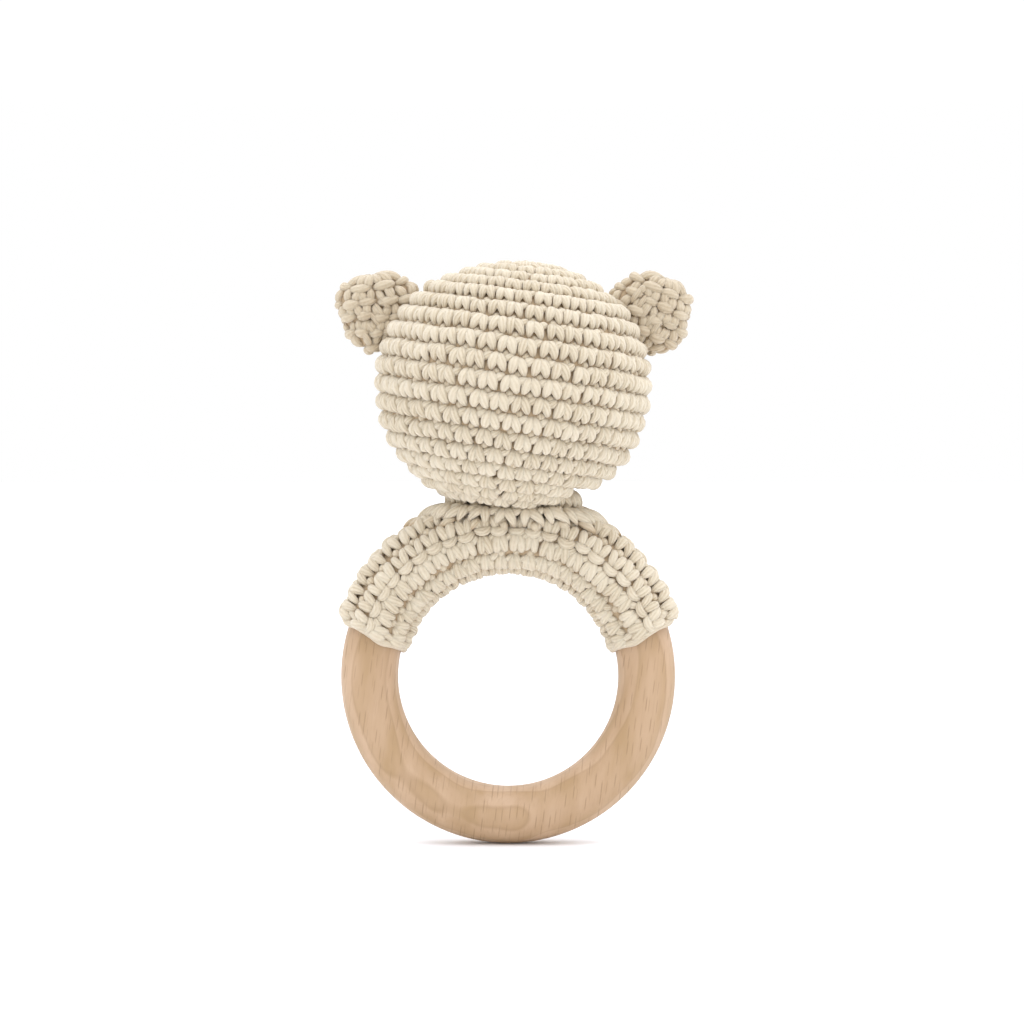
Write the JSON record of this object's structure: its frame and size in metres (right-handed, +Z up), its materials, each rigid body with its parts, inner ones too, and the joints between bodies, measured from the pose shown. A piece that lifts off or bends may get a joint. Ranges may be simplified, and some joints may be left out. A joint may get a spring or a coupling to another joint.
{
  "type": "baby rattle",
  "caption": "Crocheted bear-head rattle: a stuffed round head with two soft ears, sewn by a crochet sleeve to a smooth beech grip ring.",
  "frame": {"origin": "centre of the wooden grip ring", "axes": "+Z up from the ring through the head; +Y towards the bear's face, along the ring's axis; +X to the right seen from behind"},
  "size_m": [0.0753, 0.0587, 0.1221],
  "materials": {
    "beech": "satin",
    "cream_crochet": "matte",
    "cream_yarn": "matte",
    "fibre_filling": "matte",
    "box_plastic": "satin",
    "pellet_plastic": "satin",
    "brown_thread": "matte"
  },
  "bodies": {
    "sleeve": {"ring_sleeve": "cream_crochet", "sleeve_seam_yarn": "cream_yarn"},
    "ring": {"wooden_ring": "beech"},
    "head": {"head_cover": "cream_crochet", "head_stuffing": "fibre_filling", "neck_collar": "cream_crochet", "rattle_shell_upper": "box_plastic", "rattle_shell_lower": "box_plastic", "ear_left_yarn": "cream_yarn", "ear_right_yarn": "cream_yarn", "eye_left": "brown_thread", "eye_right": "brown_thread", "nose": "brown_thread", "mouth": "brown_thread"},
    "ear_left": {"ear_left": "cream_crochet"},
    "ear_right": {"ear_right": "cream_crochet"},
    "pellet_1": {"pellet_1": "pellet_plastic"},
    "pellet_2": {"pellet_2": "pellet_plastic"},
    "pellet_3": {"pellet_3": "pellet_plastic"},
    "pellet_4": {"pellet_4": "pellet_plastic"},
    "pellet_5": {"pellet_5": "pellet_plastic"}
  },
  "joints": [
    {"name": "ring_turn", "type": "hinge", "parent": "sleeve", "child": "ring", "pos_m": [0, 0, 0], "axis": [0, 1, 0], "continuous": true},
    {"name": "neck_nod", "type": "hinge", "parent": "sleeve", "child": "head", "pos_m": [0, 0, 0.0296], "axis": [1, 0, 0], "range_deg": [-10, 10], "stiffness_Nm_per_rad": 0.3},
    {"name": "ear_left_fold", "type": "hinge", "parent": "head", "child": "ear_left", "pos_m": [-0.02719, 0.0035, 0.07538], "axis": [-0.4929, 0, -0.8701], "range_deg": [-25, 25], "stiffness_Nm_per_rad": 0.0015},
    {"name": "ear_right_fold", "type": "hinge", "parent": "head", "child": "ear_right", "pos_m": [0.02919, 0.0035, 0.07538], "axis": [-0.4929, 0, 0.8701], "range_deg": [-25, 25], "stiffness_Nm_per_rad": 0.0015},
    {"name": "pellet_1_roll", "type": "hinge", "parent": "head", "child": "pellet_1", "pos_m": [0.001, 0, 0.0612], "axis": [1, 0, 0], "continuous": true},
    {"name": "pellet_2_roll", "type": "hinge", "parent": "head", "child": "pellet_2", "pos_m": [0.001, 0, 0.0612], "axis": [1, 0, 0], "continuous": true},
    {"name": "pellet_3_roll", "type": "hinge", "parent": "head", "child": "pellet_3", "pos_m": [0.001, 0, 0.0612], "axis": [1, 0, 0], "continuous": true},
    {"name": "pellet_4_roll", "type": "hinge", "parent": "head", "child": "pellet_4", "pos_m": [0.001, 0, 0.0612], "axis": [1, 0, 0], "continuous": true},
    {"name": "pellet_5_roll", "type": "hinge", "parent": "head", "child": "pellet_5", "pos_m": [0.001, 0, 0.0612], "axis": [1, 0, 0], "continuous": true}
  ]
}
